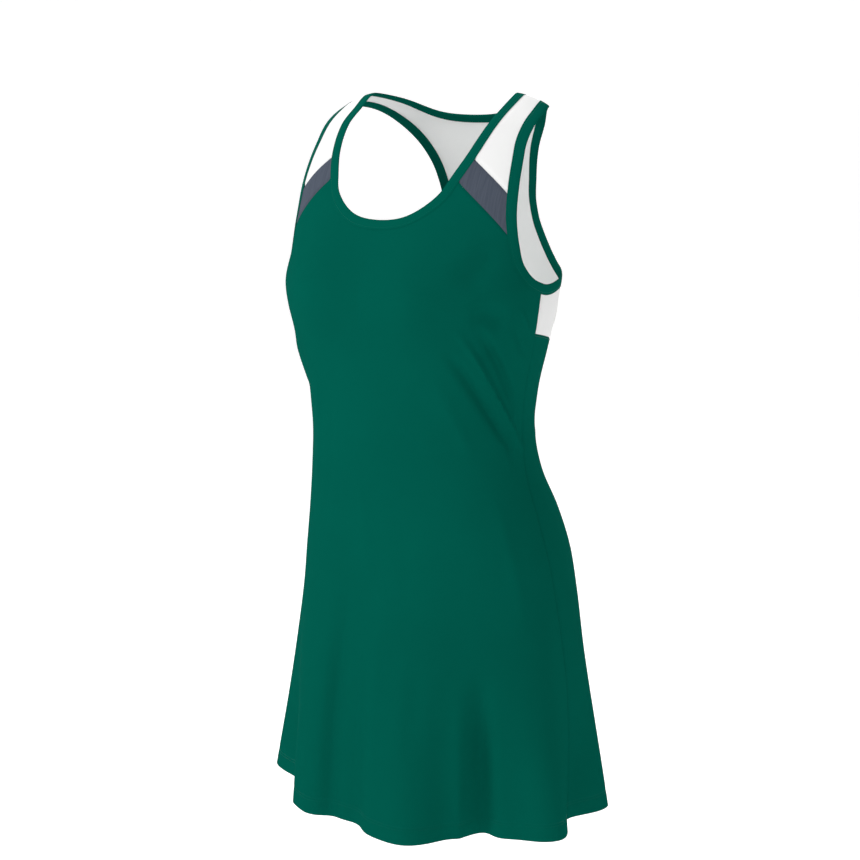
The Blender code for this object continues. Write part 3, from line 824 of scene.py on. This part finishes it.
# Cross-section of the folded tape
# share of the width from the seam to the free edge, height above the cloth's middle
TAPE_SECTION = np.array([
    (0.008,  0.00062),
    (-0.030,  0.00064),
    (-0.075,  0.00092),
    (0.040,  0.00110),
    (0.150,  0.00100),
    (0.260,  0.00118),
    (0.550,  0.00124),
    (0.800,  0.00112),
    (0.930,  0.00078),
    (1.000,  0.00028),
    (1.000, -0.00028),
    (0.930, -0.00078),
    (0.800, -0.00108),
    (0.450, -0.00116),
    (0.150, -0.00098),
    (0.020, -0.00108),
    (-0.070, -0.00084),
    (-0.070, -0.00064),
    (0.008, -0.00062),
])
# Row of the section where the stitches press the tape in
TAPE_HOLLOW = 4
TAPE_STEPS = 560

binding_knit = knit("binding_knit", (0.0006, 0.1060, 0.0745), (0.0004, 0.0840, 0.0590),
                    GREEN_TINT, 0.7, 0.0)


def tape_line(edge, seam, reach, height):
    """A line along a tape, at a share of its width and a height above the cloth's middle."""
    middle = seam + (edge - seam) * reach
    return middle + outward(middle) * (height + crease(seam))[:, None]


def tape(name, node, edge, seam):
    """Folded tape round an opening, between its free edge and the seam with the cloth."""
    rings = [tape_line(edge, seam, reach, height) for reach, height in TAPE_SECTION]
    corners = len(rings)
    vertices = np.stack(rings, axis=1).reshape(-1, 3)
    count = len(edge)
    around = np.concatenate(([0.0], np.cumsum(np.linalg.norm(np.diff(seam, axis=0), axis=1))))
    girth = np.linalg.norm(np.diff(TAPE_SECTION * (BINDING_WIDTH, 1.0), axis=0), axis=1)
    girth = np.concatenate(([0.0], np.cumsum(girth)))
    cloth_uv = [(g, a) for a in around for g in girth]
    faces = []
    for i in range(count):
        j = (i + 1) % count
        for k in range(corners):
            m = (k + 1) % corners
            faces.append((i * corners + k, j * corners + k, j * corners + m, i * corners + m))
    return cloth_piece(name, node, binding_knit, vertices, faces, cloth_uv)


def both_halves(left):
    """A closed loop from its left half, which runs from the centre front to the back."""
    return np.concatenate((left, mirrored(left)[::-1][1:-1]))


neck_steps = np.linspace(0, EDGE_POINTS - 1, TAPE_STEPS // 2 + 1).astype(int)
neck_loop = both_halves(neck[neck_steps])
neck_seam_loop = both_halves(neck_seam[neck_steps])
neck_tape = tape("neck_tape", "neck_binding", neck_loop, neck_seam_loop)
arm_steps = np.linspace(0, EDGE_POINTS - 1, TAPE_STEPS + 1).astype(int)[:-1]
for side, turn in SIDES:
    tape("arm_tape_" + side, "armhole_binding_" + side,
                          turn(arm[arm_steps]), turn(arm_seam[arm_steps]))


# Stitches
# Spun polyester thread in the cloth's own colour. The hem has two rows side by side, each
# binding one row near its seam, and the yoke seam one row on the green below it.

STITCH_PITCH = 0.0031
STITCH_LENGTH = 0.0025
THREAD_WIDTH = 0.00042
HEM_ROW_APART = 0.0032
YOKE_ROW_BELOW = 0.0022
PATH_POINTS = 720
# Share of the pressed-in depth at which the hem's stitches lie
STITCH_DOWN = 0.8
THREAD_ROUGHNESS = 0.45
PLY_SCALE = 2500.0
PLY_SHADES = (0.8, 1.2)


def thread(name, colour, tint):
    """Slightly shiny sewing thread."""
    material = bpy.data.materials.new(name)
    material.use_nodes = True
    nodes = material.node_tree.nodes
    shader = nodes["Principled BSDF"]
    shader.inputs["Roughness"].default_value = THREAD_ROUGHNESS
    shader.inputs["Specular Tint"].default_value = (*tint, 1.0)
    ply = nodes.new("ShaderNodeTexNoise")
    ply.inputs["Scale"].default_value = PLY_SCALE
    space = nodes.new("ShaderNodeTexCoord")
    material.node_tree.links.new(space.outputs["Object"], ply.inputs["Vector"])
    ramp = nodes.new("ShaderNodeMix")
    ramp.data_type = "RGBA"
    for socket, ply_shade in zip("AB", PLY_SHADES):
        ramp.inputs[socket].default_value = (*[c * ply_shade for c in colour], 1.0)
    material.node_tree.links.new(ply.outputs["Fac"], ramp.inputs["Factor"])
    material.node_tree.links.new(ramp.outputs["Result"], shader.inputs["Base Color"])
    return material


def stitch_tree(material):
    """Geometry nodes that lay one stitch after another along each edge path."""
    tree = bpy.data.node_groups.new("stitches", "GeometryNodeTree")
    tree.interface.new_socket("Path", in_out="INPUT", socket_type="NodeSocketGeometry")
    for label, value in (("Pitch", STITCH_PITCH), ("Stitch length", STITCH_LENGTH),
                         ("Thread width", THREAD_WIDTH)):
        socket = tree.interface.new_socket(label, in_out="INPUT", socket_type="NodeSocketFloat")
        socket.default_value = value
    tree.interface.new_socket("Stitches", in_out="OUTPUT", socket_type="NodeSocketGeometry")
    nodes = tree.nodes
    given = nodes.new("NodeGroupInput")
    curve = nodes.new("GeometryNodeMeshToCurve")
    steps = nodes.new("GeometryNodeResampleCurve")
    steps.mode = "LENGTH"
    # A bead 1 m across, drawn out to the stitch's length and the thread's width
    stitch = nodes.new("GeometryNodeMeshUVSphere")
    stitch.inputs["Segments"].default_value = 6
    stitch.inputs["Rings"].default_value = 4
    stitch.inputs["Radius"].default_value = 0.5
    size = nodes.new("ShaderNodeCombineXYZ")
    slim = nodes.new("GeometryNodeTransform")
    tangent = nodes.new("GeometryNodeInputTangent")
    turn = nodes.new("FunctionNodeAlignRotationToVector")
    turn.axis = "X"
    laid = nodes.new("GeometryNodeInstanceOnPoints")
    real = nodes.new("GeometryNodeRealizeInstances")
    dyed = nodes.new("GeometryNodeSetMaterial")
    dyed.inputs["Material"].default_value = material
    result = nodes.new("NodeGroupOutput")
    for source, output, target, entry in (
        (given, "Path", curve, "Mesh"),
        (curve, "Curve", steps, "Curve"),
        (given, "Pitch", steps, "Length"),
        (given, "Stitch length", size, "X"),
        (given, "Thread width", size, "Y"),
        (given, "Thread width", size, "Z"),
        (stitch, "Mesh", slim, "Geometry"),
        (size, "Vector", slim, "Scale"),
        (tangent, "Tangent", turn, "Vector"),
        (steps, "Curve", laid, "Points"),
        (slim, "Geometry", laid, "Instance"),
        (turn, "Rotation", laid, "Rotation"),
        (laid, "Instances", real, "Geometry"),
        (real, "Geometry", dyed, "Geometry"),
        (dyed, "Geometry", result, "Stitches"),
    ):
        tree.links.new(source.outputs[output], target.inputs[entry])
    return tree


def sewn(name, tree, slot, paths):
    """Rows of stitches along paths, each a list of points and whether it is a loop."""
    points = []
    edges = []
    for path, loop in paths:
        first = len(points)
        points += [tuple(p) for p in path]
        edges += [(i, i + 1) for i in range(first, len(points) - 1)]
        if loop:
            edges.append((len(points) - 1, first))
    mesh = bpy.data.meshes.new(name)
    mesh.from_pydata(points, edges, [])
    guide = bpy.data.objects.new(name + "_guide", mesh)
    bpy.context.scene.collection.objects.link(guide)
    modifier = guide.modifiers.new("stitches", "NODES")
    modifier.node_group = tree
    ready = guide.evaluated_get(bpy.context.evaluated_depsgraph_get())
    stitches_mesh = bpy.data.meshes.new_from_object(ready)
    guide.modifiers.remove(modifier)
    bpy.data.objects.remove(guide)
    stitches_mesh.name = name
    stitches_mesh.shade_smooth()
    piece = bpy.data.objects.new(name, stitches_mesh)
    bpy.context.scene.collection.objects.link(piece)
    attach(piece, "root")


def on_cloth(points, sink):
    """Points raised from the form to the outer face of the cloth."""
    return points + outward(points) * (crease(points) + CLOTH / 2 - sink)[:, None]


turns = np.linspace(-180.0, 180.0, PATH_POINTS + 1)[:-1]
hem_rows = []
for row in (-0.5, 0.5):
    z = np.full(PATH_POINTS, HEM_Z + HEM_TURN_UP + row * HEM_ROW_APART)
    hem_rows.append((on_cloth(at_angle(turns, z), STITCH_DOWN * STITCH_SINK), True))
yoke_row = yoke_seam - np.array((0.0, 0.0, YOKE_ROW_BELOW))
green_thread = thread("green_thread", (0.0006, 0.0800, 0.0560), GREEN_TINT)
green_stitches = stitch_tree(green_thread)
sewn("body_stitches", green_stitches, "body_cloth",
     hem_rows + [(on_cloth(on_form(yoke_row), 0.0), False)])

# In the hollow that the row of stitches presses in each tape
reach, height = TAPE_SECTION[TAPE_HOLLOW]
binding_rows = [(tape_line(neck_loop, neck_seam_loop, reach, height), True)]
for _, turn in SIDES:
    arm_row = tape_line(turn(arm[arm_steps]), turn(arm_seam[arm_steps]), reach, height)
    binding_rows.append((arm_row, True))
sewn("binding_stitches", green_stitches, "binding_cloth", binding_rows)


# Floor
# A plain sweep of pale studio paper, flat under the dress and curving up behind it. It
# glows a little, so that it stays white.

FLOOR_Z = -1.30
FLOOR_HALF_WIDTH = 14.0
FLOOR_NEAR = -14.0
FLOOR_BEND = 5.0
BEND_RADIUS = 3.0
SWEEP_TOP = 9.0
BEND_STEPS = 24
PAPER_WHITE = (0.93, 0.93, 0.93, 1.0)
PAPER_ROUGHNESS = 0.9
PAPER_GLOW = 0.40

bend = np.linspace(0.0, np.pi / 2, BEND_STEPS + 1)
sweep_line = [(FLOOR_NEAR, FLOOR_Z)]
sweep_line += [(FLOOR_BEND + BEND_RADIUS * np.sin(t), FLOOR_Z + BEND_RADIUS * (1 - np.cos(t)))
               for t in bend]
sweep_line.append((FLOOR_BEND + BEND_RADIUS, SWEEP_TOP))
sweep_points = [(x, y, z) for y, z in sweep_line for x in (-FLOOR_HALF_WIDTH, FLOOR_HALF_WIDTH)]
sweep_faces = [(2 * i, 2 * i + 1, 2 * i + 3, 2 * i + 2) for i in range(len(sweep_line) - 1)]
sweep_mesh = bpy.data.meshes.new("floor")
sweep_mesh.from_pydata(sweep_points, [], sweep_faces)
sweep_mesh.shade_smooth()
paper = bpy.data.materials.new("pale_paper")
paper.use_nodes = True
paper_shader = paper.node_tree.nodes["Principled BSDF"]
paper_shader.inputs["Base Color"].default_value = PAPER_WHITE
paper_shader.inputs["Roughness"].default_value = PAPER_ROUGHNESS
paper_shader.inputs["Emission Color"].default_value = (1.0, 1.0, 1.0, 1.0)
paper_shader.inputs["Emission Strength"].default_value = PAPER_GLOW
sweep_mesh.materials.append(paper)
floor = bpy.data.objects.new("floor", sweep_mesh)
floor.rotation_euler = (0.0, 0.0, VIEW_TURN)
bpy.context.scene.collection.objects.link(floor)


# Light
# A white room with three soft lights: the strong one at the camera's left, a weak one at
# its right, and one behind and above the dress that shines through the white cloth.

ROOM_LIGHT = 0.50
LIGHT_AIM = (0.0, 0.0, -0.40)

world = bpy.data.worlds.new("studio")
world.use_nodes = True
world.node_tree.nodes["Background"].inputs["Color"].default_value = (1.0, 1.0, 1.0, 1.0)
world.node_tree.nodes["Background"].inputs["Strength"].default_value = ROOM_LIGHT
bpy.context.scene.world = world

# turn from the camera towards its left in degrees, height, distance, size, power
SOFT_LIGHTS = (
    (60.0, 1.5, 2.0, 0.8, 36.0),
    (-30.0, 0.6, 3.2, 1.6, 3.0),
    (180.0, 2.0, 2.4, 1.4, 62.0),
)
for number, (swing, height, distance, size, power) in enumerate(SOFT_LIGHTS):
    lamp_data = bpy.data.lights.new("soft_light_%d" % number, "AREA")
    lamp_data.energy = power
    lamp_data.size = size
    lamp = bpy.data.objects.new(lamp_data.name, lamp_data)
    turn = VIEW_TURN - np.radians(swing)
    lamp.location = (distance * np.sin(turn), -distance * np.cos(turn), height)
    aim = np.array(LIGHT_AIM) - np.array(lamp.location)
    lamp.rotation_euler = (np.arccos(-aim[2] / np.linalg.norm(aim)), 0.0, turn)
    bpy.context.scene.collection.objects.link(lamp)
